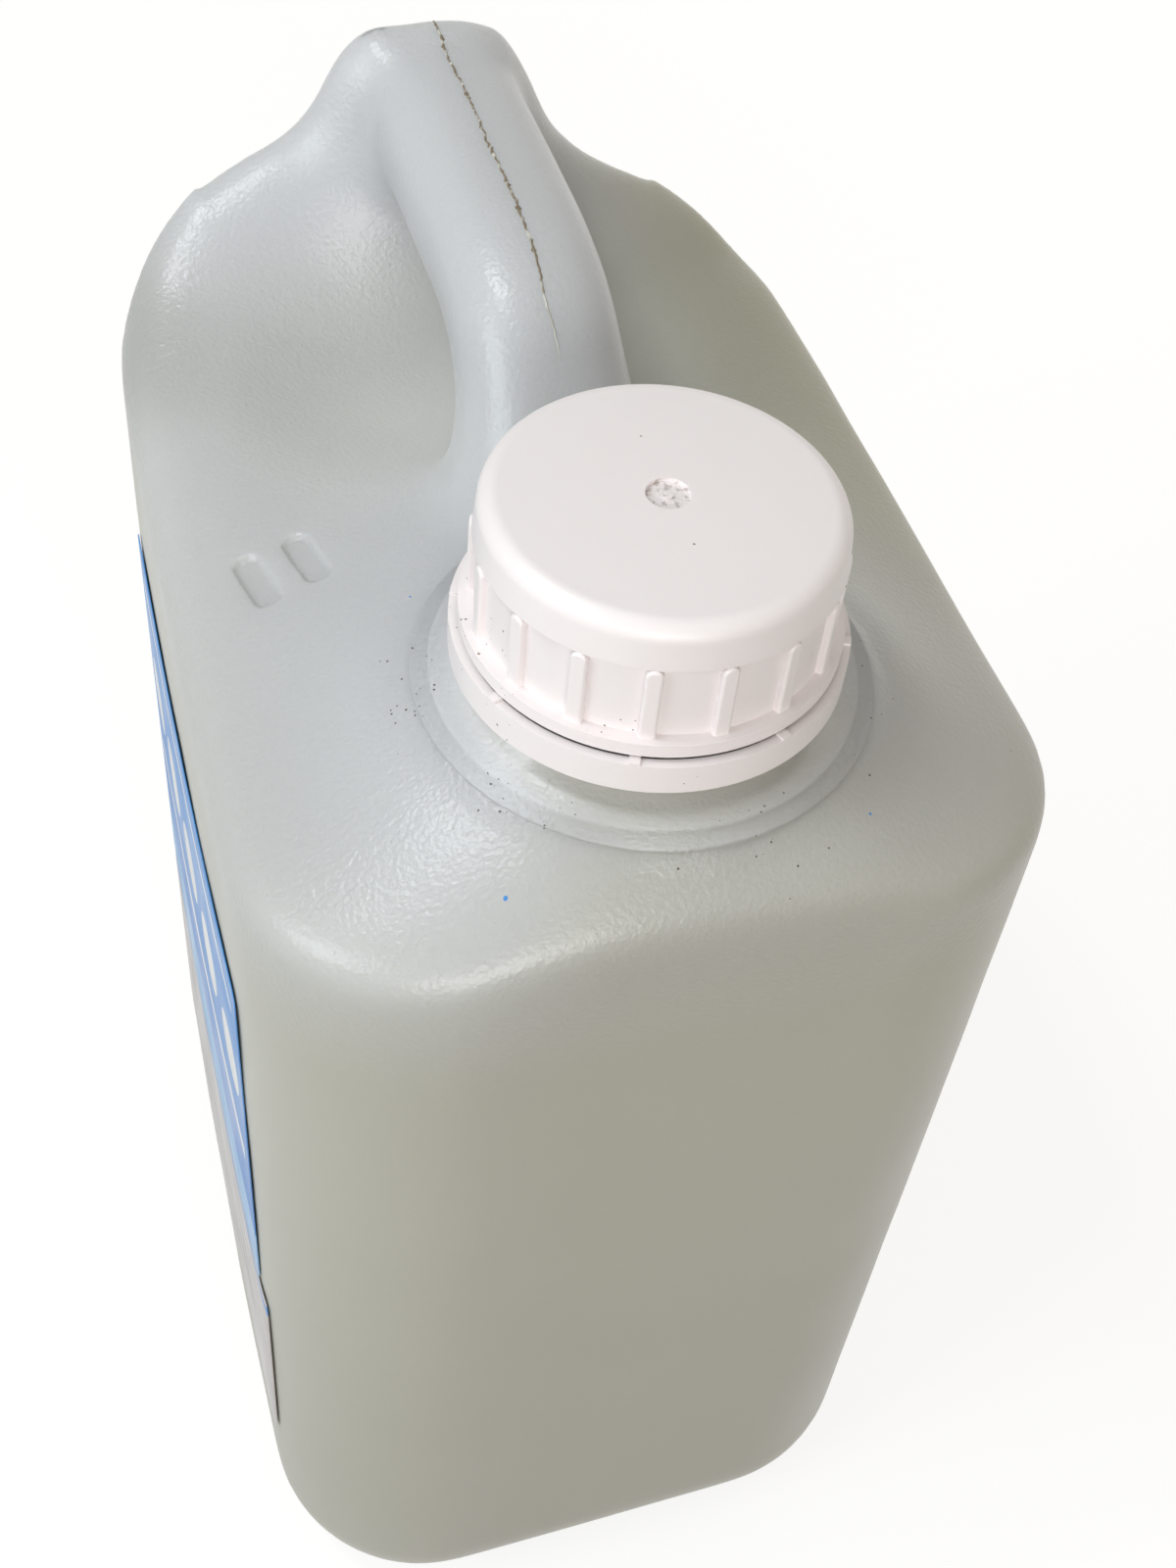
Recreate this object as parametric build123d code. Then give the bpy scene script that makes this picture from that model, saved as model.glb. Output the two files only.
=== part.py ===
from build123d import *
import math
import os

# Blow-moulded five litre bleach bottle, in millimetres.
# Z is up, the origin is the middle of the base, the neck is at the front (-Y)
# and the carrying handle runs back along the middle to the rear wall.

# Bottle trunk
body_width = 133.5
rear_narrowing = 4.0
body_depth = 181.0
shoulder_height = 237.0
side_crown = 1.6
end_crown = 0.8
corner_radius = 34.0
base_radius = 20.0
rim_radius = 6.0
wall = 1.4
base_arch_rise = 2.4
base_arch_width = 78.0

# Top deck: rise of the neck plateau, depth of the finger dish, rise of the rear gable
neck_rise = 12.5
dish_depth = 8.5
gable_rise = 46.0
cut_overrun = 40.0

# Handle: its top above the shoulder, its foot behind the neck, its end short of the rear
handle_rise = 43.8
handle_width = 29.0
handle_thickness = 25.0
handle_setback = 41.8
handle_end_inset = 6.0
handle_drop = 54.0

# Neck finish, its axis behind the front wall and its ledge above the shoulder
neck_front_inset = 42.7
neck_bore_radius = 20.8
neck_stem_radius = 23.4
plateau_radius = 35.8
ledge_radius = 33.1
ledge_rise = 13.7
ledge_step = 1.0
plateau_sink = 7.0
bead_radius = 26.6
bead_height = 2.2
bead_lift = 7.0

# Screw cap
cap_crown = 0.7
cap_height = 23.5
cap_top_radius = 26.7
cap_edge_radius = 3.0
cap_band_height = 8.0
cap_band_radius = 27.3
cap_skirt_radius = 26.6
cap_flange_radius = 28.9
cap_flange_height = 2.3
cap_wall = 1.7
rib_count = 16
rib_width = 2.6
rib_proud = 1.1
rib_root = 0.8
rib_edge_radius = 0.5
rib_turn = 2.5
gate_radius = 3.3
gate_depth = 0.7
gate_nub_radius = 0.7
gate_nub_height = 0.4

# Sealing disc under the cap's top
liner_thickness = 1.5

# Tamper ring left on the neck, its lip hooked under the neck's bead
ring_lift = 4.5
ring_slit = 0.7
ring_height = 5.4
ring_radius = 30.2
ring_wall = 1.6
ring_lip_height = 1.2
bridge_count = 8
bridge_width = 1.6
bridge_height = 0.4

# Paper labels on the left wall
label_thickness = 0.2
label_seat = 0.1
label_corner = 3.0
upper_label_length = 114.0
upper_label_low = 101.0
upper_label_high = 197.0
upper_label_shift = 0.0
lower_label_length = 118.0
lower_label_low = 42.0
lower_label_high = 100.0
lower_label_shift = -3.0

# Sunk bar marks on the left shoulder
mark_count = 2
mark_length = 13.0
mark_width = 4.6
mark_depth = 0.7
mark_pitch = 8.6
mark_turn = 11.0
mark_side_inset = 19.3
mark_setback = 43.0

# Contents
headspace = 15.0
running_gap = 0.3

# Deck cross-sections from front to rear: place as a share of half the depth, then
# the rise at each lateral share of half the width as a share of the named rise.
lateral_shares = (0.0, 0.18, 0.32, 0.54, 0.80, 0.95, 1.12)
deck_row_shares = (
    (-1.10, neck_rise, (-0.90, -0.91, -0.93, -1.00, -1.20, -1.60, -2.40)),
    (-1.00, neck_rise, (0.28, 0.25, 0.18, -0.08, -0.55, -1.00, -1.90)),
    (-0.90, neck_rise, (0.95, 0.90, 0.77, 0.38, -0.15, -0.55, -1.50)),
    (-0.53, neck_rise, (1.00, 1.00, 1.00, 0.90, 0.20, -0.24, -1.20)),
    (-0.16, neck_rise, (0.94, 0.92, 0.86, 0.58, 0.14, -0.22, -1.10)),
    (0.11, neck_rise, (0.52, 0.50, 0.44, 0.28, 0.10, -0.18, -1.00)),
    (0.33, dish_depth, (-0.50, -0.47, -0.38, -0.08, 0.14, -0.20, -1.40)),
    (0.53, dish_depth, (-1.00, -0.93, -0.74, -0.26, 0.16, -0.16, -1.40)),
    (0.65, dish_depth, (-0.60, -0.58, -0.44, -0.10, 0.20, -0.16, -1.40)),
    (0.75, gable_rise, (0.24, 0.22, 0.17, 0.11, 0.05, -0.05, -0.28)),
    (0.86, gable_rise, (0.82, 0.76, 0.54, 0.31, 0.13, -0.04, -0.30)),
    (0.94, gable_rise, (1.10, 1.05, 0.74, 0.41, 0.16, -0.05, -0.35)),
    (1.00, gable_rise, (1.07, 1.01, 0.69, 0.37, 0.10, -0.13, -0.44)),
    (1.10, gable_rise, (0.76, 0.70, 0.40, 0.07, -0.19, -0.42, -0.74)),
)
steep_row_share = 0.6
crest_row_share = 0.90
deck_offset_share = 2.4
gable_offset_share = 6.0

# Handle sections from the front leg's flared foot to its rounded rear end: place along
# the reach, drop of the centre below the handle's top, lean in degrees, width, thickness.
handle_row_shares = (
    (0.00, 0.98, 58.0, 2.40, 2.40),
    (0.05, 0.79, 57.0, 1.70, 1.72),
    (0.115, 0.60, 55.0, 1.22, 1.28),
    (0.187, 0.415, 47.0, 1.03, 1.07),
    (0.29, 0.277, 24.0, 1.00, 1.02),
    (0.415, 0.232, 0.0, 1.00, 1.00),
    (0.52, 0.232, 0.0, 1.00, 1.00),
    (0.62, 0.232, 0.0, 1.00, 1.00),
    (0.72, 0.232, 0.0, 1.00, 1.00),
    (0.82, 0.233, 0.0, 1.00, 1.00),
    (0.91, 0.240, 0.0, 0.99, 0.99),
    (1.00, 0.262, 0.0, 0.96, 0.96),
)
handle_corner_share = 0.43
rib_corner_share = 0.48
mark_corner_share = 0.45

# Places that follow from the sizes above
half_width = body_width / 2
half_depth = body_depth / 2
neck_setback = half_depth - neck_front_inset
neck_place = Pos(0, -neck_setback, 0)
handle_front = handle_setback - neck_setback
handle_reach = half_depth - handle_end_inset - handle_front
handle_top = shoulder_height + handle_rise
fill_height = shoulder_height - headspace
mark_x = mark_side_inset - half_width
mark_y = mark_setback - neck_setback
ledge_height = shoulder_height + ledge_rise
bead_foot = ledge_height + bead_lift
ring_foot = ledge_height + ring_lift
ring_top = ring_foot + ring_height
cap_foot = ring_top + ring_slit
cap_top_height = cap_foot + cap_height
cap_inside_top = cap_top_height - cap_wall
cap_bore_radius = cap_skirt_radius - cap_wall
mouth_height = cap_inside_top - liner_thickness
block_top = shoulder_height + neck_rise + gable_rise
tool_top = block_top + cut_overrun


def plan_outline(inset):
    """Crowned plan with round corners and a slightly narrower rear, drawn inside by the inset."""
    front_half = half_width - inset
    rear_half = front_half - rear_narrowing
    side_middle = (front_half + rear_half) / 2 + side_crown
    along = half_depth - inset
    front = ThreePointArc((-front_half, -along), (0, -along - end_crown), (front_half, -along))
    right = ThreePointArc((front_half, -along), (side_middle, 0), (rear_half, along))
    rear = ThreePointArc((rear_half, along), (0, along + end_crown), (-rear_half, along))
    left = ThreePointArc((-rear_half, along), (-side_middle, 0), (-front_half, -along))
    face = make_face(front + right + rear + left)
    return fillet(face.vertices(), corner_radius - inset)


def arch_tool(inset):
    """Shallow drum along the depth that lifts the base between its two side strips."""
    half_arch = base_arch_width / 2
    drum_radius = (half_arch**2 + base_arch_rise**2) / (2 * base_arch_rise)
    drum = Cylinder(drum_radius + inset, body_depth + cut_overrun)
    return Pos(0, 0, base_arch_rise - drum_radius) * Rot(90, 0, 0) * drum


def block(inset, floor, top):
    """Trunk with a round foot and an arched base, from its floor to a level top."""
    prism = extrude(Pos(0, 0, floor) * plan_outline(inset), top - floor)
    foot_edges = prism.faces().sort_by(Axis.Z)[0].edges()
    return fillet(foot_edges, base_radius - floor) - arch_tool(inset)


def deck_section(place_share, rise, height_shares, inset):
    """One closed cross-section of the tool that clears everything above the deck."""
    place = place_share * half_depth
    drop = inset * deck_offset_share
    if place_share > steep_row_share:
        drop = inset * gable_offset_share
    if place_share > crest_row_share:
        place = place - inset
    elif place_share > steep_row_share:
        place = place + inset
    right = []
    for lateral, height_share in zip(lateral_shares, height_shares):
        right.append(Vector(lateral * half_width, place, shoulder_height + rise * height_share - drop))
    left = [Vector(-point.X, point.Y, point.Z) for point in reversed(right[1:])]
    points = left + right
    low_left, low_right = points[0], points[-1]
    high_left = Vector(low_left.X, place, tool_top)
    high_right = Vector(low_right.X, place, tool_top)
    edges = [
        Edge.make_spline(points),
        Edge.make_line(low_right, high_right),
        Edge.make_line(high_right, high_left),
        Edge.make_line(high_left, low_left),
    ]
    return Wire(edges)


def trunk(inset):
    """Trunk under its lofted deck, drawn inside by the inset."""
    tool = Solid.make_loft([deck_section(*row, inset) for row in deck_row_shares])
    return block(inset, inset, block_top) - tool


def rounded_trunk():
    """Outer trunk with its deck's rim rounded off."""
    solid = trunk(0)
    deck = solid.faces().filter_by(GeomType.BSPLINE).sort_by(Axis.Z)[-1]
    return fillet(deck.outer_wire().edges(), rim_radius)


def handle(inset):
    """Handle lofted from its flared foot behind the neck to its end in the gable."""
    sections = []
    for along, drop, lean, wide, thick in handle_row_shares:
        centre = (0, handle_front + along * handle_reach, handle_top - drop * handle_drop)
        run = (0, math.cos(math.radians(lean)), math.sin(math.radians(lean)))
        width = handle_width * wide - 2 * inset
        thickness = handle_thickness * thick - 2 * inset
        corner = handle_corner_share * min(width, thickness)
        plane = Plane(origin=centre, x_dir=(1, 0, 0), z_dir=run)
        sections.append(plane * RectangleRounded(width, thickness, corner))
    return loft(sections)


def turned(points):
    """Solid turned about the neck's axis from an outline of radius and height pairs."""
    outline = Polyline(*[(radius, 0, height) for radius, height in points], close=True)
    return neck_place * revolve(make_face(outline), Axis.Z)


def round_bar(radius, foot, top):
    """Upright round bar on the neck's axis."""
    return neck_place * Pos(0, 0, foot) * Cylinder(
        radius, top - foot, align=(Align.CENTER, Align.CENTER, Align.MIN)
    )


def neck_finish():
    """Stepped plateau, stem and retaining bead of the neck, without its bore."""
    plateau_top = ledge_height - ledge_step
    plateau_foot = plateau_top - plateau_sink
    return turned(
        [
            (0, plateau_foot),
            (plateau_radius, plateau_foot),
            (plateau_radius, plateau_top),
            (ledge_radius, plateau_top),
            (ledge_radius, ledge_height),
            (neck_stem_radius, ledge_height),
            (neck_stem_radius, bead_foot),
            (bead_radius, bead_foot),
            (neck_stem_radius, bead_foot + bead_height),
            (neck_stem_radius, mouth_height),
            (0, mouth_height),
        ]
    )


def bar_marks(shoulder):
    """Tools for shallow sunk bars whose floors follow the shoulder's own curve."""
    floor = Pos(0, 0, -mark_depth) * shoulder
    bar = RectangleRounded(mark_width, mark_length, mark_width * mark_corner_share)
    place = Pos(mark_x, mark_y, fill_height) * Rot(0, 0, mark_turn)
    bars = []
    for number in range(mark_count):
        aside = (number - (mark_count - 1) / 2) * mark_pitch
        bars.append(extrude(place * Pos(aside, 0, 0) * bar, cut_overrun) - floor)
    return bars


def bottle_body():
    """Hollow blown bottle with its handle, neck and shoulder marks in one wall."""
    shoulder = rounded_trunk()
    outside = shoulder + handle(0) + neck_finish()
    bore = round_bar(neck_bore_radius, fill_height, tool_top)
    inside = trunk(wall) + handle(wall) + bore
    return outside - inside - bar_marks(shoulder)


def screw_cap():
    """Ribbed cap with a flange, a plain top band and the gate mark in its crown."""
    band_foot = cap_top_height - cap_band_height
    flange_top = cap_foot + cap_flange_height
    rim_height = cap_top_height - cap_crown
    sides = Polyline(
        (0, 0, cap_top_height),
        (0, 0, cap_inside_top),
        (cap_bore_radius, 0, cap_inside_top),
        (cap_bore_radius, 0, cap_foot),
        (cap_flange_radius, 0, cap_foot),
        (cap_flange_radius, 0, flange_top),
        (cap_skirt_radius, 0, flange_top),
        (cap_skirt_radius, 0, band_foot),
        (cap_band_radius, 0, band_foot),
        (cap_top_radius, 0, rim_height),
    )
    crown = TangentArc((0, 0, cap_top_height), (cap_top_radius, 0, rim_height), tangent=(1, 0, 0))
    shell = revolve(make_face(sides + crown), Axis.Z)
    rim = shell.edges().filter_by(GeomType.CIRCLE).filter_by(Plane.XY).sort_by(Axis.Z)[-1]
    shell = fillet(rim, cap_edge_radius)
    rib_span = band_foot - cap_foot
    rib_plane = Plane(
        origin=(cap_skirt_radius - rib_root, 0, cap_foot + rib_span / 2),
        x_dir=(0, 1, 0),
        z_dir=(1, 0, 0),
    )
    rib_face = rib_plane * RectangleRounded(rib_width, rib_span, rib_width * rib_corner_share)
    rib = extrude(rib_face, rib_root + rib_proud)
    rib = fillet(rib.faces().sort_by(Axis.X)[-1].edges(), rib_edge_radius)
    ribs = [Rot(0, 0, rib_turn + 360 * number / rib_count) * rib for number in range(rib_count)]
    gate_floor = cap_top_height - gate_depth
    gate = round_bar(gate_radius, gate_floor, cap_top_height + gate_depth)
    nub = round_bar(gate_nub_radius, gate_floor - gate_nub_height, gate_floor + gate_nub_height)
    return neck_place * (shell + ribs) - gate + nub


def cap_liner():
    return round_bar(cap_bore_radius - running_gap, mouth_height, cap_inside_top)


def tamper_ring():
    """Band under the cap with its lip below the bead and the stubs of its bridges."""
    inner_radius = ring_radius - ring_wall
    lip_radius = neck_stem_radius + running_gap
    band = turned(
        [
            (inner_radius, ring_top),
            (ring_radius, ring_top),
            (ring_radius, ring_foot),
            (inner_radius, ring_foot),
            (lip_radius, bead_foot - ring_lip_height),
            (lip_radius, bead_foot),
            (inner_radius, bead_foot),
        ]
    )
    stub = Pos(ring_radius - ring_wall / 2, 0, ring_top) * Box(ring_wall, bridge_width, 2 * bridge_height)
    turns = [360 * (number + 1 / 2) / bridge_count for number in range(bridge_count)]
    return band + [neck_place * Rot(0, 0, turn) * stub for turn in turns]


def label(length, low, high, shift):
    """Thin label wrapped on the left wall's crown."""
    outer = extrude(plan_outline(-label_seat - label_thickness), high)
    skin = outer - extrude(plan_outline(-label_seat), high)
    plane = Plane(origin=(0, shift, (low + high) / 2), x_dir=(0, 1, 0), z_dir=(-1, 0, 0))
    window = extrude(plane * RectangleRounded(length, high - low, label_corner), body_width)
    return skin & window


def bleach_fill():
    return block(wall + running_gap, wall, fill_height)


upper_label = (upper_label_length, upper_label_low, upper_label_high, upper_label_shift)
lower_label = (lower_label_length, lower_label_low, lower_label_high, lower_label_shift)
os.makedirs("parts", exist_ok=True)
export_step(bottle_body(), "parts/bottle_body.step")
export_step(screw_cap(), "parts/screw_cap.step")
export_step(cap_liner(), "parts/cap_liner.step")
export_step(tamper_ring(), "parts/tamper_ring.step")
export_step(label(*upper_label), "parts/label_upper.step")
export_step(label(*lower_label), "parts/label_lower.step")
export_step(bleach_fill(), "parts/bleach_fill.step")
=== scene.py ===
import math
import random

import bmesh
import bpy
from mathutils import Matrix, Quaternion, Vector, noise
from mathutils.bvhtree import BVHTree


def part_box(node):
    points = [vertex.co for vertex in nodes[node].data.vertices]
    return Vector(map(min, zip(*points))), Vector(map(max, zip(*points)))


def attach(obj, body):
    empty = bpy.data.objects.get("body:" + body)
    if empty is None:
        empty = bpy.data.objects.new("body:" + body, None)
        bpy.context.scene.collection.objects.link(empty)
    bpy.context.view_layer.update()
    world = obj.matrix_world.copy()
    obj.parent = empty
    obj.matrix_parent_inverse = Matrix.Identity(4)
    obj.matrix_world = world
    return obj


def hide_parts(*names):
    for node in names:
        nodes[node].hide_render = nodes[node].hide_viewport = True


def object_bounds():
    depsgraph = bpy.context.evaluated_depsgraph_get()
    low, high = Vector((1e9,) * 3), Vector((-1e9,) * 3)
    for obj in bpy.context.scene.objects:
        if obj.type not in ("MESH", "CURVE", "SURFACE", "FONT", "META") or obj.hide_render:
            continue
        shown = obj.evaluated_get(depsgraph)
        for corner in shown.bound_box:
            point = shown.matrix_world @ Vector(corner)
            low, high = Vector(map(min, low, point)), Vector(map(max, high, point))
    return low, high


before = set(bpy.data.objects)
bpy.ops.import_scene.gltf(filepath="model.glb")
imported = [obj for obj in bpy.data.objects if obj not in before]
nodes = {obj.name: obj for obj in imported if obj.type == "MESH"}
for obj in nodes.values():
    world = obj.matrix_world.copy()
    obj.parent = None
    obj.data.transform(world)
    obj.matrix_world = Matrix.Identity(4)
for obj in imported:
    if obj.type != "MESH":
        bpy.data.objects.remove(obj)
cad_low, cad_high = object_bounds()
mm = 0.001

# Places taken from the frame
cap_low, cap_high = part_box("screw_cap")
upper_low, upper_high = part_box("label_upper")
lower_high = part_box("label_lower")[1]
neck_axis = (cap_low + cap_high) / 2
neck_axis.z = 0
mouth_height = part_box("cap_liner")[0].z
fill_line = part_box("bleach_fill")[1].z

# Neck and thread sizes
bore_radius = 20.8 * mm
stem_radius = 23.4 * mm
cap_bore_radius = 24.9 * mm
plateau_radius = 35.8 * mm
plateau_height = 249.7 * mm
neck_cut_radius = 34.6 * mm
neck_cut_height = 243.0 * mm
tuck_depth = 0.1 * mm
weld_distance = 0.002 * mm
mouth_slack = 0.2 * mm
plateau_slack = 0.1 * mm
thread_pitch = 6.0 * mm
thread_turns = 1.75
thread_height = 1.2 * mm
thread_width = 2.2 * mm
thread_low = 265.5 * mm
thread_sink = 0.1 * mm
thread_steps = 120
thread_taper = 12

# Remeshing of the blown skin, and the slight waves of its wall
skin_voxel = 1.5 * mm
skin_smooth_rounds = 10
joint_smooth_rounds = 26
smooth_share = 0.5
joint_low = 228 * mm
joint_neck_clear = 37 * mm
joint_half_width = 45 * mm
joint_front = -10 * mm
wave_clear = 2 * mm
wave_depth = 0.35 * mm
wave_scale = 38.0

# Uneven settling of the soft gable, in mm: middle, reach to the left and to the right,
# lift, then where it sets in along the depth and up the height
gable_moves = (
    ((-54, 24, 34), 5.0, (44, 76), (214, 240)),
    ((-17, 13, 13), 2.6, (70, 84), (258, 272)),
    ((25, 14, 42), -6.0, (54, 80), (232, 256)),
)

# Sunk bar marks on the left shoulder
mark_place = Vector((-47.45, -4.8, 0)) * mm
mark_turn = math.radians(11)
mark_pitch = 8.6 * mm
mark_length = 13.0 * mm
mark_width = 4.6 * mm
mark_corner = 2.0 * mm
mark_depth = 0.75 * mm
mark_edge = 0.9 * mm
mark_margin = 1.5 * mm
mark_splits = 2

# Flash along the top of the handle
seam_front = 1.0 * mm
seam_rear = 88.5 * mm
seam_step = 0.45 * mm
seam_seed = 7
seam_half_width = 0.16
seam_spread = 0.18
seam_height = 0.12
seam_ragged = 0.22
seam_drift = 0.12
seam_root = 0.06 * mm
seam_ray_rise = 5 * mm

# Painted light: a paler tone laid on the shaded recess under and beside the handle
lit_recess_place = Vector((-14.0, 34.0, 0)) * mm
lit_recess_radius = 46.0 * mm

# Blue specks on the shoulder: place and radius
blue_specks = (
    (Vector((-30.9, -81.4, 0)) * mm, 0.55 * mm),
    (Vector((25.5, -80.5, 0)) * mm, 0.35 * mm),
    (Vector((-30.5, -22.5, 0)) * mm, 0.35 * mm),
)

# Camera of the photograph
camera_place = Vector((-88.66, -251.58, 474.78)) * mm
camera_aim = Vector((37.43, 10.71, 140.0)) * mm
camera_roll = math.radians(9.585)
camera_lens = 47.19
camera_shift_x = -0.0563
camera_shift_y = 0.0129


def new_object(name, mesh):
    piece = bpy.data.objects.new(name, mesh)
    bpy.context.scene.collection.objects.link(piece)
    return piece


class Paint:
    """A material built up from nodes around one Principled shader."""

    def __init__(self, name):
        self.material = bpy.data.materials.new(name)
        self.material.use_nodes = True
        self.tree = self.material.node_tree
        self.shader = self.tree.nodes["Principled BSDF"]
        self.place = self.add("ShaderNodeTexCoord").outputs["Object"]

    def add(self, kind, settings=None, **inputs):
        """Adds a node; an input is a socket to link or a value to set."""
        node = self.tree.nodes.new(kind)
        for key, value in (settings or {}).items():
            setattr(node, key, value)
        for key, value in inputs.items():
            self.feed(node.inputs[key.replace("_", " ")], value)
        return node

    def feed(self, socket, value):
        if isinstance(value, bpy.types.NodeSocket):
            self.tree.links.new(value, socket)
        else:
            socket.default_value = value

    def set(self, **inputs):
        for key, value in inputs.items():
            self.feed(self.shader.inputs[key.replace("_", " ")], value)

    def math(self, operation, first, second=0.0):
        node = self.tree.nodes.new("ShaderNodeMath")
        node.operation = operation
        self.feed(node.inputs[0], first)
        self.feed(node.inputs[1], second)
        return node.outputs[0]

    def axis(self, name):
        return self.add("ShaderNodeSeparateXYZ", Vector=self.place).outputs[name]

    def ramp(self, value, low, high, to_low=0.0, to_high=1.0):
        """Smooth step of a value from low to high."""
        node = self.add(
            "ShaderNodeMapRange",
            {"interpolation_type": "SMOOTHSTEP"},
            Value=value,
            From_Min=low,
            From_Max=high,
            To_Min=to_low,
            To_Max=to_high,
        )
        return node.outputs["Result"]

    def noise(self, scale, detail=2.0, roughness=0.5):
        node = self.add(
            "ShaderNodeTexNoise", Vector=self.place, Scale=scale, Detail=detail, Roughness=roughness
        )
        return node.outputs["Fac"]

    def mix(self, factor, first, second):
        node = self.tree.nodes.new("ShaderNodeMix")
        node.data_type = "RGBA"
        self.feed(node.inputs[0], factor)
        self.feed(node.inputs[6], first)
        self.feed(node.inputs[7], second)
        return node.outputs[2]

    def times(self, first, second):
        node = self.add("ShaderNodeMix", {"data_type": "RGBA", "blend_type": "MULTIPLY"})
        self.feed(node.inputs[0], 1.0)
        self.feed(node.inputs[6], first)
        self.feed(node.inputs[7], second)
        return node.outputs[2]

    def specks(self, scale, size, share):
        """Specks of varied size in a share of the cells of a Voronoi pattern."""
        cells = self.add("ShaderNodeTexVoronoi", Vector=self.place, Scale=scale)
        tint = self.add("ShaderNodeSeparateColor", Color=cells.outputs["Color"])
        chosen = self.math("LESS_THAN", tint.outputs["Red"], share)
        reach = self.math("MULTIPLY", tint.outputs["Green"], size)
        ragged = self.math("MULTIPLY", self.noise(scale * 4), 0.1)
        warped = self.math("ADD", cells.outputs["Distance"], ragged)
        within = self.math("LESS_THAN", warped, self.math("ADD", reach, 0.05))
        return self.math("MULTIPLY", chosen, within)

    def ring(self, centre, radius, width):
        """Soft band at a distance from an upright axis."""
        level = self.add("ShaderNodeVectorMath", {"operation": "MULTIPLY"})
        self.feed(level.inputs[0], self.place)
        level.inputs[1].default_value = (1, 1, 0)
        away = self.add("ShaderNodeVectorMath", {"operation": "DISTANCE"})
        self.feed(away.inputs[0], level.outputs[0])
        away.inputs[1].default_value = (centre.x, centre.y, 0)
        off = self.math("ABSOLUTE", self.math("SUBTRACT", away.outputs["Value"], radius))
        return self.ramp(off, 0.0, width, 1.0, 0.0)

    def bump(self, height, strength, distance):
        node = self.add("ShaderNodeBump", Strength=strength, Distance=distance, Height=height)
        self.set(Normal=node.outputs["Normal"])


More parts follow.
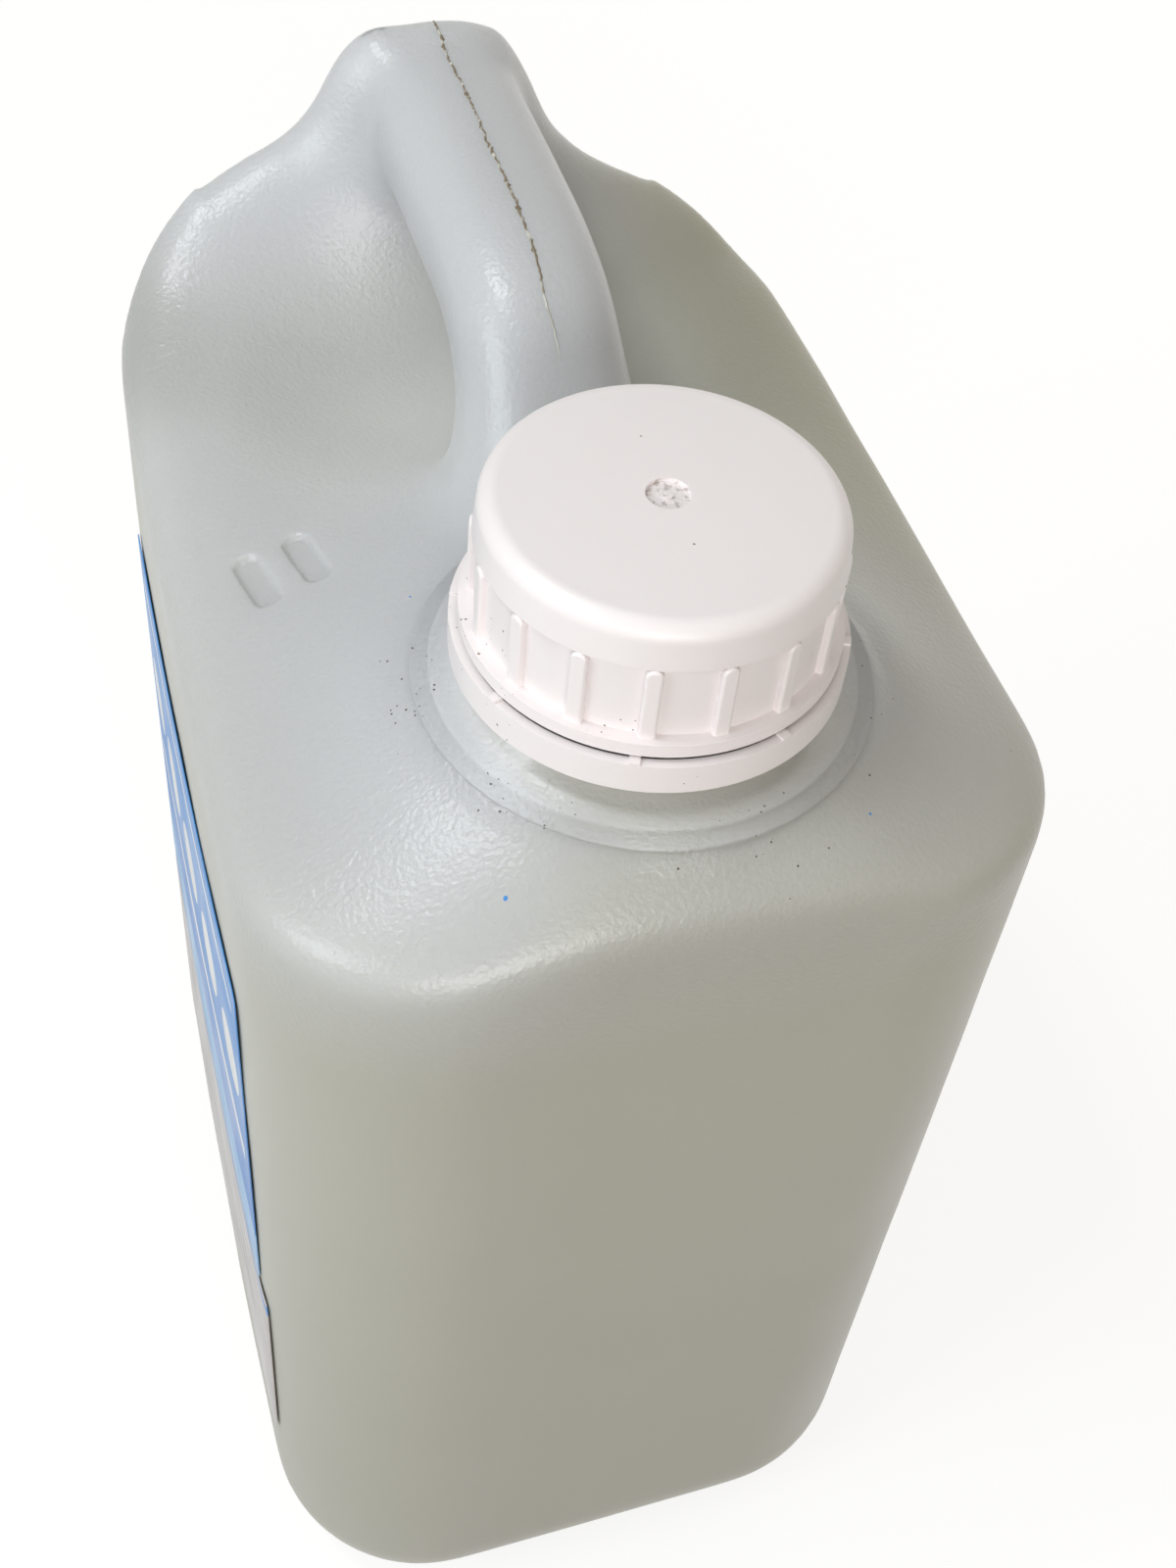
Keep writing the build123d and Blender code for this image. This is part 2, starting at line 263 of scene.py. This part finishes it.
def blown_plastic():
    """Translucent natural plastic, cool where it is empty and olive where the liquid backs it; painted
    light lifts the shaded recess and neck collar, and painted shade darkens the far side, the front
    shoulder and the left ear.
    """
    paint = Paint("natural_plastic")
    height = paint.axis("Z")
    empty = (0.545, 0.55, 0.57, 1)
    rise = paint.ramp(height, 20 * mm, 205 * mm)
    filled = paint.mix(rise, (0.375, 0.365, 0.305, 1), (0.445, 0.435, 0.375, 1))
    level = paint.math("ADD", height, paint.math("MULTIPLY", paint.noise(9.0), 0.02))
    wet = paint.ramp(level, fill_line - 8 * mm, fill_line + 43 * mm, 1.0, 0.0)
    cloud = paint.mix(paint.noise(22.0, 3.0), (0.94, 0.95, 0.95, 1), (1.0, 1.0, 0.99, 1))
    tone = paint.mix(wet, empty, filled)
    # Painted light: a paler tone over the shaded recess under and beside the handle, and over the shaded
    # collar under the tamper ring.
    painted_light_low = paint.ramp(height, 250 * mm, 266 * mm, 0.85, 0.0)
    collar = paint.ramp(height, 243 * mm, 246 * mm)
    painted_light = paint.math("MULTIPLY", paint.ring(lit_recess_place, 0.0, lit_recess_radius), painted_light_low)
    painted_collar_light = paint.math("MULTIPLY", paint.ring(neck_axis, 25 * mm, 9 * mm), collar)
    painted_light = paint.math("MAXIMUM", painted_light, painted_collar_light)
    tone = paint.mix(painted_light, tone, (0.80, 0.80, 0.78, 1))
    depth = paint.axis("Y")
    across = paint.axis("X")
    # Painted shade: a darker, warmer tone on the side away from the key lamp and on the front shoulder.
    painted_shade_far_share = paint.ramp(depth, -50 * mm, 20 * mm, 0.5, 1.0)
    painted_shade_far_share = paint.math("MULTIPLY", painted_shade_far_share, paint.ramp(height, 120 * mm, 222 * mm, 0.35, 1.0))
    painted_shade_far_side = paint.math("MULTIPLY", paint.ramp(across, 8 * mm, 60 * mm), painted_shade_far_share)
    painted_shade_front_share = paint.ramp(height, 215 * mm, 235 * mm, 0.16, 0.45)
    front = paint.math("MULTIPLY", paint.ramp(depth, -80 * mm, -35 * mm, 1.0, 0.0), painted_shade_front_share)
    front = paint.math("MULTIPLY", front, paint.ramp(across, -42 * mm, -12 * mm))
    tint = paint.mix(paint.math("MAXIMUM", painted_shade_far_side, front), (1, 1, 1, 1), (0.75, 0.715, 0.55, 1))
    # Painted shade: a darker tone on the upper rear of the left ear.
    painted_ear_shade = paint.ramp(across, -62 * mm, -44 * mm, 1.0, 0.0)
    painted_ear_shade = paint.math("MULTIPLY", painted_ear_shade, paint.ramp(depth, 30 * mm, 60 * mm))
    painted_ear_shade = paint.math("MULTIPLY", painted_ear_shade, paint.ramp(height, 205 * mm, 235 * mm))
    tint = paint.times(tint, paint.mix(painted_ear_shade, (1, 1, 1, 1), (0.76, 0.75, 0.73, 1)))
    tone = paint.times(paint.times(tone, cloud), tint)
    near_neck = paint.ring(neck_axis, 35 * mm, 9 * mm)
    above = paint.ramp(height, 238 * mm, 244 * mm)
    patches = paint.ramp(paint.noise(60.0), 0.45, 0.62, 0.02, 0.55)
    dirt_share = paint.math("MULTIPLY", paint.math("MULTIPLY", near_neck, above), patches)
    dirt = paint.specks(1100.0, 0.24, dirt_share)
    deck = paint.ramp(height, 234 * mm, 238 * mm)
    stray = paint.math("MULTIPLY", deck, paint.specks(260.0, 0.06, 0.012))
    soiled = paint.mix(paint.math("MAXIMUM", dirt, stray), tone, (0.10, 0.085, 0.06, 1))
    ink = 0.0
    for place, radius in blue_specks:
        ink = paint.math("MAXIMUM", ink, paint.ring(place, 0.0, radius))
    ink = paint.math("MULTIPLY", ink, paint.ramp(height, 220 * mm, 225 * mm))
    color = paint.mix(paint.math("GREATER_THAN", ink, 0.35), soiled, (0.05, 0.25, 0.62, 1))
    sheen = paint.math("ADD", paint.math("MULTIPLY", paint.noise(25.0, 1.0), 0.06), 0.285)
    paint.set(Base_Color=color, Roughness=sheen)
    paint.set(Subsurface_Weight=0.6, Subsurface_Radius=(1.0, 1.0, 0.85), Subsurface_Scale=0.018)
    paint.set(IOR=1.5)
    upper = paint.ramp(height, 200 * mm, 226 * mm, 0.15, 1.0)
    paint.bump(paint.math("MULTIPLY", paint.noise(1100.0, 1.0), upper), 0.6, 0.24 * mm)
    return paint.material


def cap_plastic():
    """Opaque white plastic, a little soiled low on the ribs and rough in the gate mark."""
    paint = Paint("cap_plastic")
    tone = paint.mix(paint.noise(40.0, 3.0), (0.86, 0.80, 0.80, 1), (0.90, 0.84, 0.84, 1))
    height = paint.axis("Z")
    low_zone = paint.ramp(height, cap_low.z + 2 * mm, cap_low.z + 15 * mm, 1.0, 0.0)
    patches = paint.ramp(paint.noise(60.0), 0.47, 0.62, 0.0, 0.42)
    dirt = paint.specks(1100.0, 0.22, paint.math("MULTIPLY", low_zone, patches))
    stray = paint.specks(240.0, 0.05, 0.10)
    gate = paint.ring(neck_axis, 0.0, 3.6 * mm)
    top = paint.ramp(height, cap_high.z - 1.2 * mm, cap_high.z - 0.6 * mm)
    inside_gate = paint.math("MULTIPLY", paint.math("GREATER_THAN", gate, 0.02), top)
    grime = paint.math("MULTIPLY", inside_gate, paint.ramp(paint.noise(900.0), 0.5, 0.62, 0.0, 0.45))
    marks = paint.math("MAXIMUM", paint.math("MAXIMUM", dirt, stray), grime)
    color = paint.mix(marks, tone, (0.22, 0.17, 0.12, 1))
    paint.set(Base_Color=color, Roughness=paint.ramp(paint.noise(90.0), 0.3, 0.7, 0.32, 0.42))
    paint.set(Subsurface_Weight=0.15, Subsurface_Radius=(1.0, 0.95, 0.9), Subsurface_Scale=0.003)
    coarse = paint.math("ADD", 0.25, paint.math("MULTIPLY", gate, 6.0))
    rough = paint.math("MULTIPLY", paint.noise(1400.0, 3.0), coarse)
    paint.bump(rough, 0.35, 0.2 * mm)
    return paint.material


def plain_paint(name, first, second, scale, roughness, grain):
    paint = Paint(name)
    tone = paint.mix(paint.noise(scale, 3.0), first, second)
    paint.set(Base_Color=tone, Roughness=roughness)
    paint.bump(paint.noise(scale * 12), grain, 0.1 * mm)
    return paint.material


def seam_paint():
    """Ragged flash, mostly brown with dirt and pale where it is clean."""
    paint = Paint("seam_dirt")
    soil = paint.ramp(paint.noise(420.0, 3.0), 0.34, 0.52)
    fade = paint.ramp(paint.axis("Y"), seam_front + 2 * mm, seam_front + 16 * mm)
    dark = paint.mix(paint.noise(900.0), (0.10, 0.075, 0.045, 1), (0.26, 0.20, 0.13, 1))
    color = paint.mix(paint.math("MULTIPLY", soil, fade), (0.58, 0.57, 0.52, 1), dark)
    paint.set(Base_Color=color, Roughness=0.55)
    paint.bump(paint.noise(1500.0), 0.5, 0.1 * mm)
    return paint.material


class Print:
    """Flat masks for a label's print, in metres along the wall and up it."""

    def __init__(self, paint):
        self.paint = paint
        self.along = paint.axis("Y")
        self.up = paint.axis("Z")

    def strip(self, value, middle, half):
        off = self.paint.math("ABSOLUTE", self.paint.math("SUBTRACT", value, middle))
        return self.paint.math("LESS_THAN", off, half)

    def bar(self, along, half_length, up, half_height):
        return self.paint.math(
            "MULTIPLY", self.strip(self.along, along, half_length), self.strip(self.up, up, half_height)
        )

    def discs(self, first, step, count, up, radius):
        total = 0.0
        for number in range(count):
            aside = self.paint.math("SUBTRACT", self.along, first + number * step)
            rise = self.paint.math("SUBTRACT", self.up, up)
            square = self.paint.math(
                "ADD", self.paint.math("MULTIPLY", aside, aside), self.paint.math("MULTIPLY", rise, rise)
            )
            disc = self.paint.math("LESS_THAN", square, radius * radius)
            total = self.paint.math("MAXIMUM", total, disc)
        return total


def label_film(paint, color):
    """Satin film with slight waves and rubbed specks."""
    worn = paint.mix(paint.specks(260.0, 0.10, 0.06), color, (0.62, 0.62, 0.60, 1))
    paint.set(Base_Color=worn, Roughness=paint.ramp(paint.noise(70.0), 0.3, 0.7, 0.30, 0.42))
    paint.bump(paint.noise(120.0, 2.0), 0.15, 0.2 * mm)
    return paint.material


def blue_label():
    """Blue field with a row of pale discs, two plain bars and a lighter foot."""
    paint = Paint("label_blue")
    art = Print(paint)
    fade = paint.ramp(art.up, upper_low.z, upper_high.z)
    blue = paint.mix(fade, (0.045, 0.20, 0.56, 1), (0.05, 0.25, 0.62, 1))
    blue = paint.mix(paint.math("MULTIPLY", paint.noise(35.0, 3.0), 0.25), blue, (0.10, 0.30, 0.62, 1))
    sky = art.strip(art.up, upper_low.z + 9 * mm, 9 * mm)
    color = paint.mix(sky, blue, (0.22, 0.44, 0.72, 1))
    pale = (0.74, 0.75, 0.76, 1)
    discs = art.discs(-44 * mm, 22 * mm, 5, upper_low.z + 62 * mm, 8 * mm)
    bars = paint.math(
        "MAXIMUM",
        art.bar(0.0, 52 * mm, upper_low.z + 40 * mm, 2.2 * mm),
        art.bar(0.0, 52 * mm, upper_high.z - 10 * mm, 1.2 * mm),
    )
    color = paint.mix(paint.math("MAXIMUM", discs, bars), color, pale)
    return label_film(paint, color)


def white_label():
    """Off-white field under a narrow blue strip, with four plain grey bars."""
    paint = Paint("label_white")
    art = Print(paint)
    white = paint.mix(paint.noise(30.0, 3.0), (0.47, 0.44, 0.43, 1), (0.53, 0.50, 0.49, 1))
    color = paint.mix(art.strip(art.up, lower_high.z - 3 * mm, 1.6 * mm), white, (0.06, 0.24, 0.58, 1))
    lines = 0.0
    for number, half_length in enumerate((44, 40, 44, 30)):
        level = lower_high.z - (16 + 9 * number) * mm
        lines = paint.math("MAXIMUM", lines, art.bar(0.0, half_length * mm, level, 1.4 * mm))
    color = paint.mix(paint.math("MULTIPLY", lines, 0.75), color, (0.30, 0.31, 0.33, 1))
    return label_film(paint, color)


def dress(piece, material):
    piece.data.materials.clear()
    piece.data.materials.append(material)


def shade_smooth(piece, angle):
    piece.data.shade_smooth()
    piece.data.set_sharp_from_angle(angle=math.radians(angle))


def neck_distance(point):
    return math.hypot(point.x - neck_axis.x, point.y - neck_axis.y)


def split_shell():
    """Outer faces of the hollow bottle, walked from its side as far as the mouth, and the rest."""
    shell = bmesh.new()
    shell.from_mesh(nodes["bottle_body"].data)
    bmesh.ops.remove_doubles(shell, verts=shell.verts, dist=weld_distance)
    shell.faces.ensure_lookup_table()

    def on_mouth(vert):
        level = abs(vert.co.z - mouth_height) < mouth_slack
        return level and abs(neck_distance(vert.co) - bore_radius) < mouth_slack

    start = min(shell.faces, key=lambda face: face.calc_center_median().x)
    outside = {start}
    queue = [start]
    while queue:
        face = queue.pop()
        for edge in face.edges:
            if on_mouth(edge.verts[0]) and on_mouth(edge.verts[1]):
                continue
            for other in edge.link_faces:
                if other not in outside:
                    outside.add(other)
                    queue.append(other)
    return shell, outside


def copy_faces(shell, unwanted, name):
    """New mesh of the shell without the unwanted faces."""
    part = shell.copy()
    part.faces.ensure_lookup_table()
    doomed = [part.faces[index] for index in unwanted]
    bmesh.ops.delete(part, geom=doomed, context="FACES")
    mesh = bpy.data.meshes.new(name)
    part.to_mesh(mesh)
    part.free()
    return mesh


def remeshed(piece):
    """Evaluated voxel remesh of a closed piece as a new mesh."""
    modifier = piece.modifiers.new("voxels", "REMESH")
    modifier.mode = "VOXEL"
    modifier.voxel_size = skin_voxel
    bpy.context.view_layer.update()
    graph = bpy.context.evaluated_depsgraph_get()
    return bpy.data.meshes.new_from_object(piece.evaluated_get(graph))


def smooth(skin, verts, rounds):
    for _ in range(rounds):
        bmesh.ops.smooth_vert(
            skin, verts=verts, factor=smooth_share, use_axis_x=True, use_axis_y=True, use_axis_z=True
        )


def smooth_step(value, low, high):
    share = min(max((value - low) / (high - low), 0.0), 1.0)
    return share * share * (3 - 2 * share)


def ripple(skin):
    """Draws the wall in by slight waves, as blown plastic cools."""
    skin.normal_update()
    for vert in skin.verts:
        if vert.is_boundary or neck_distance(vert.co) < plateau_radius + wave_clear:
            continue
        wave = noise.noise(vert.co * wave_scale) / 2 + 1 / 2
        vert.co -= vert.normal * (wave_depth * wave)


def tuck_under(skin):
    """Slopes the skin's cut edge down under the neck's plateau."""
    for vert in skin.verts:
        inside = plateau_radius - neck_distance(vert.co)
        if vert.co.z > neck_cut_height and inside > 0:
            vert.co.z = min(vert.co.z, plateau_height - tuck_depth - inside / 2)


def settle(verts):
    """Lifts or lowers stretches of the gable by small smooth amounts."""
    for vert in verts:
        for (middle, left, right), lift, depth_span, height_span in gable_moves:
            aside = vert.co.x / mm - middle
            aside = aside / right if aside > 0 else aside / left
            if abs(aside) >= 1:
                continue
            share = (1 - aside * aside) ** 2
            share *= smooth_step(vert.co.y / mm, *depth_span)
            share *= smooth_step(vert.co.z / mm, *height_span)
            vert.co.z += share * lift * mm


def mark_offset(point):
    """Signed distance from the edge of the nearest bar mark, seen from above."""
    flat = Vector((point.x, point.y, 0)) - mark_place
    across = flat.dot(Vector((math.cos(mark_turn), math.sin(mark_turn), 0)))
    along = flat.dot(Vector((-math.sin(mark_turn), math.cos(mark_turn), 0)))
    aside = abs(across) - mark_pitch / 2
    wide = max(abs(aside) - (mark_width / 2 - mark_corner), 0)
    long = max(abs(along) - (mark_length / 2 - mark_corner), 0)
    return math.hypot(wide, long) - mark_corner


def press_marks(skin):
    """Sinks the bar marks into a finer patch of the skin."""
    reach = mark_length
    for _ in range(mark_splits):
        patch = set()
        for vert in skin.verts:
            if vert.co.z > fill_line and mark_offset(vert.co) < mark_margin:
                patch.update(vert.link_edges)
        bmesh.ops.subdivide_edges(skin, edges=list(patch), cuts=1, use_grid_fill=True)
    near = [vert for vert in skin.verts if vert.co.z > fill_line and mark_offset(vert.co) < reach]
    for vert in near:
        sunk = smooth_step(mark_offset(vert.co), mark_edge / 3, -2 * mark_edge / 3)
        vert.co.z -= mark_depth * sunk


def blown_skin():
    """Bottle in two pieces: a soft remeshed outer skin, and the crisp neck with the inner wall."""
    shell, outside = split_shell()
    shell.faces.index_update()
    outer_index = {face.index for face in outside}
    inner_index = [face.index for face in shell.faces if face.index not in outer_index]
    trunk_index = []
    for index in outer_index:
        middle = shell.faces[index].calc_center_median()
        if middle.z < neck_cut_height or neck_distance(middle) > plateau_radius + plateau_slack:
            trunk_index.append(index)
    closed = copy_faces(shell, inner_index, "closed_skin")
    work = bmesh.new()
    work.from_mesh(closed)
    bmesh.ops.holes_fill(work, edges=[edge for edge in work.edges if edge.is_boundary])
    work.to_mesh(closed)
    work.free()
    solid = new_object("closed_skin", closed)
    mesh = remeshed(solid)
    bpy.data.objects.remove(solid)
    skin = bmesh.new()
    skin.from_mesh(mesh)
    doomed = [
        face
        for face in skin.faces
        if face.calc_center_median().z > neck_cut_height
        and neck_distance(face.calc_center_median()) < neck_cut_radius
    ]
    bmesh.ops.delete(skin, geom=doomed, context="FACES")
    free = [vert for vert in skin.verts if not vert.is_boundary]
    smooth(skin, free, skin_smooth_rounds)
    joints = [vert for vert in free if vert.co.z > joint_low and neck_distance(vert.co) > joint_neck_clear]
    joints = [vert for vert in joints if abs(vert.co.x) < joint_half_width and vert.co.y > joint_front]
    smooth(skin, joints, joint_smooth_rounds)
    tuck_under(skin)
    settle(skin.verts)
    ripple(skin)
    press_marks(skin)
    mesh = bpy.data.meshes.new("bottle_skin")
    skin.to_mesh(mesh)
    skin.free()
    neck = copy_faces(shell, trunk_index, "bottle_neck")
    settle(neck.vertices)
    shell.free()
    return new_object("bottle_skin", mesh), new_object("bottle_neck", neck)


def thread(name, inner, outer, low, phase):
    """Helical ridge about the neck's axis, tapering to nothing at both ends."""
    steps = thread_steps
    verts = []
    faces = []
    for step in range(steps + 1):
        share = step / steps
        turn = share * thread_turns * math.tau
        height = low + share * thread_turns * thread_pitch
        taper = min(1.0, thread_taper * share, thread_taper * (1 - share))
        crest = inner + (outer - inner) * max(taper, 0.05)
        angle = turn + phase
        aim = Vector((math.cos(angle), math.sin(angle), 0))
        for radius, lift in ((inner, -0.5), (crest, -0.2), (crest, 0.2), (inner, 0.5)):
            verts.append(neck_axis + aim * radius + Vector((0, 0, height + lift * thread_width)))
    for step in range(steps):
        base = step * 4
        for side in range(4):
            after = (side + 1) % 4
            faces.append((base + side, base + after, base + 4 + after, base + 4 + side))
    faces.append((3, 2, 1, 0))
    last = steps * 4
    faces.append((last, last + 1, last + 2, last + 3))
    mesh = bpy.data.meshes.new(name)
    mesh.from_pydata(verts, [], faces)
    mesh.validate()
    work = bmesh.new()
    work.from_mesh(mesh)
    bmesh.ops.recalc_face_normals(work, faces=work.faces)
    work.to_mesh(mesh)
    work.free()
    return new_object(name, mesh)


def handle_seam(skin):
    """Ragged flash along the handle's top, laid on the skin under it."""
    points = [vert.co for vert in skin.data.vertices]
    tree = BVHTree.FromPolygons(points, [face.vertices for face in skin.data.polygons])
    dice = random.Random(seam_seed)
    verts = []
    faces = []
    steps = round((seam_rear - seam_front) / seam_step)
    drift = 0.0
    flake = 0.0
    for step in range(steps + 1):
        along = seam_front + step * seam_step
        drift = 0.9 * drift + dice.uniform(-seam_drift, seam_drift) * mm
        flake = 0.6 * flake + (dice.uniform(0.15, 0.5) * mm if dice.random() < 0.10 else 0.0)
        end = min(1.0, step / 14, (steps - step) / 4)
        left = (seam_half_width + dice.uniform(0.0, seam_spread)) * mm * end + flake * dice.random() * end
        right = (seam_half_width + dice.uniform(0.0, seam_spread)) * mm * end + flake * dice.random() * end
        tall = (seam_height + dice.uniform(0.0, seam_ragged)) * mm * end
        spots = ((drift - left, -seam_root), (drift, tall), (drift + right, -seam_root))
        for across, lift in spots:
            start = Vector((across, along, cad_high.z + seam_ray_rise))
            hit, normal, _, _ = tree.ray_cast(start, Vector((0, 0, -1)))
            verts.append(hit + normal * lift)
    for step in range(steps):
        base = step * 3
        faces.append((base, base + 1, base + 4, base + 3))
        faces.append((base + 1, base + 2, base + 5, base + 4))
    mesh = bpy.data.meshes.new("handle_seam")
    mesh.from_pydata(verts, [], faces)
    return new_object("handle_seam", mesh)


def stage_floor():
    """White floor that keeps the shadow near the object and fades to plain white far off."""
    size = 12.0
    corners = [(-size, -size, 0), (size, -size, 0), (size, size, 0), (-size, size, 0)]
    floor_mesh = bpy.data.meshes.new("floor")
    floor_mesh.from_pydata(corners, [], [(0, 1, 2, 3)])
    floor = new_object("floor", floor_mesh)
    paint = Paint("floor")
    middle = Vector((0, 0, 0))
    strength = paint.math("SUBTRACT", 0.93, paint.math("MULTIPLY", paint.ring(middle, 0.0, 2.2), 0.13))
    path = paint.add("ShaderNodeLightPath")
    seen = paint.math("MAXIMUM", path.outputs["Is Camera Ray"], path.outputs["Is Glossy Ray"])
    seen = paint.math("MAXIMUM", seen, path.outputs["Is Transmission Ray"])
    matte = paint.add("ShaderNodeBsdfDiffuse", Color=(0.26, 0.255, 0.24, 1))
    glow = paint.add("ShaderNodeEmission", Strength=paint.math("MULTIPLY", seen, strength))
    total = paint.add("ShaderNodeAddShader")
    paint.feed(total.inputs[0], matte.outputs[0])
    paint.feed(total.inputs[1], glow.outputs[0])
    paint.feed(paint.tree.nodes["Material Output"].inputs["Surface"], total.outputs[0])
    paint.tree.nodes.remove(paint.shader)
    dress(floor, paint.material)


def area_light(name, place, aim, size, watts, color, mirrored=True):
    lamp = bpy.data.lights.new(name, "AREA")
    lamp.shape = "RECTANGLE"
    lamp.size, lamp.size_y = size
    lamp.energy = watts
    lamp.color = color
    holder = bpy.data.objects.new(name, lamp)
    holder.location = place
    holder.rotation_euler = (Vector(aim) - Vector(place)).to_track_quat("-Z", "Y").to_euler()
    holder.visible_camera = False
    holder.visible_glossy = mirrored
    bpy.context.scene.collection.objects.link(holder)


def studio_world():
    """Dim warm surroundings that show as white behind the object."""
    world = bpy.data.worlds.new("studio")
    bpy.context.scene.world = world
    world.use_nodes = True
    tree = world.node_tree
    around = tree.nodes["Background"]
    around.inputs["Color"].default_value = (1.0, 0.955, 0.86, 1)
    around.inputs["Strength"].default_value = 0.37
    behind = tree.nodes.new("ShaderNodeBackground")
    behind.inputs["Color"].default_value = (1, 1, 1, 1)
    path = tree.nodes.new("ShaderNodeLightPath")
    choice = tree.nodes.new("ShaderNodeMixShader")
    seen = path.outputs["Is Camera Ray"]
    for kind in ("Is Glossy Ray", "Is Transmission Ray"):
        either = tree.nodes.new("ShaderNodeMath")
        either.operation = "MAXIMUM"
        tree.links.new(seen, either.inputs[0])
        tree.links.new(path.outputs[kind], either.inputs[1])
        seen = either.outputs[0]
    tree.links.new(seen, choice.inputs[0])
    tree.links.new(around.outputs[0], choice.inputs[1])
    tree.links.new(behind.outputs[0], choice.inputs[2])
    tree.links.new(choice.outputs[0], tree.nodes["World Output"].inputs["Surface"])


def light_up():
    middle = (cad_low + cad_high) / 2
    area_light("key", (-1.1, -0.25, 0.85), middle, (0.7, 0.6), 7.1, (0.85, 0.94, 1.0))
    area_light("front", (-0.3, -1.3, 0.6), middle, (0.8, 0.6), 8.2, (1.0, 0.98, 0.96))
    area_light("overhead", (-0.42, 0.12, 1.15), middle, (0.2, 0.2), 2.9, (0.92, 0.97, 1.0))
    area_light("rear", (1.15, 1.0, 0.2), middle, (1.2, 0.3), 6.5, (1.0, 0.97, 0.92), False)


def set_camera():
    lens = bpy.data.cameras.new("camera")
    lens.lens = camera_lens
    lens.sensor_width = 36.0
    lens.shift_x = camera_shift_x
    lens.shift_y = camera_shift_y
    lens.clip_start = 0.01
    camera = bpy.data.objects.new("camera", lens)
    camera.rotation_mode = "QUATERNION"
    look = (camera_aim - camera_place).to_track_quat("-Z", "Y")
    camera.rotation_quaternion = look @ Quaternion((0, 0, 1), camera_roll)
    camera.location = camera_place
    bpy.context.scene.collection.objects.link(camera)
    bpy.context.scene.camera = camera


natural = blown_plastic()
cap_white = cap_plastic()
skin, neck = blown_skin()
for piece in (skin, neck):
    dress(piece, natural)
    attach(piece, "bottle")
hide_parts("bottle_body")
shade_smooth(skin, 180)
shade_smooth(neck, 40)

for name in ("screw_cap", "tamper_ring"):
    dress(nodes[name], cap_white)
    shade_smooth(nodes[name], 35)
foam = plain_paint("liner_foam", (0.78, 0.78, 0.76, 1), (0.84, 0.84, 0.82, 1), 120.0, 0.7, 0.4)
liquid = plain_paint("bleach", (0.45, 0.45, 0.30, 1), (0.48, 0.48, 0.33, 1), 10.0, 0.08, 0.0)
dress(nodes["cap_liner"], foam)
dress(nodes["label_upper"], blue_label())
dress(nodes["label_lower"], white_label())
dress(nodes["bleach_fill"], liquid)

neck_root = stem_radius - thread_sink
cap_root = cap_bore_radius + thread_sink
neck_thread = thread("neck_thread", neck_root, stem_radius + thread_height, thread_low, 0.0)
cap_thread = thread("cap_thread", cap_root, cap_bore_radius - thread_height, thread_low, math.pi)
for piece, body, slot, material in (
    (neck_thread, "bottle", "natural_plastic", natural),
    (cap_thread, "cap", "cap_plastic", cap_white),
):
    dress(piece, material)
    shade_smooth(piece, 50)
    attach(piece, body)

seam = handle_seam(skin)
dress(seam, seam_paint())
shade_smooth(seam, 60)
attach(seam, "bottle")

stage_floor()
studio_world()
light_up()
set_camera()
bpy.context.scene.view_settings.view_transform = "Standard"
